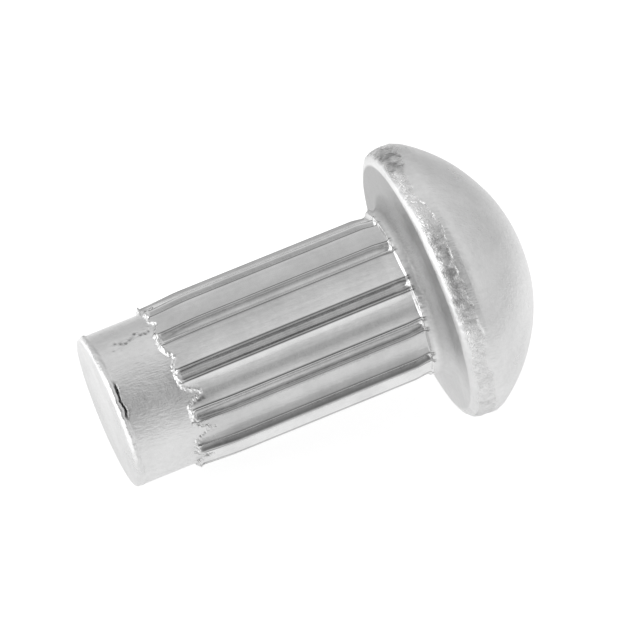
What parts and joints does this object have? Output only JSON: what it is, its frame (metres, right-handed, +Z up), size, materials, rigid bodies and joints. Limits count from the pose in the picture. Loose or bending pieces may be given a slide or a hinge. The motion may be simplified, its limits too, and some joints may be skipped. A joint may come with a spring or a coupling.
{
  "type": "nameplate rivet",
  "caption": "Domed drive rivet with a plain pilot and a fluted shank that grips a drilled hole to hold a nameplate.",
  "frame": {"origin": "middle of the rivet's footprint, on the surface it lies on", "axes": "+Z up; the rivet's axis lies in the XZ plane and rises 10.6 degrees from the pilot end (-X) to the domed head (+X)"},
  "size_m": [0.0072, 0.0044, 0.0045],
  "materials": {
    "plated_steel": "bright zinc plating over cold-headed steel, satin on the head and pilot, glossier in the rolled flutes"
  },
  "bodies": {
    "root": {"rivet": "plated_steel"}
  },
  "joints": []
}
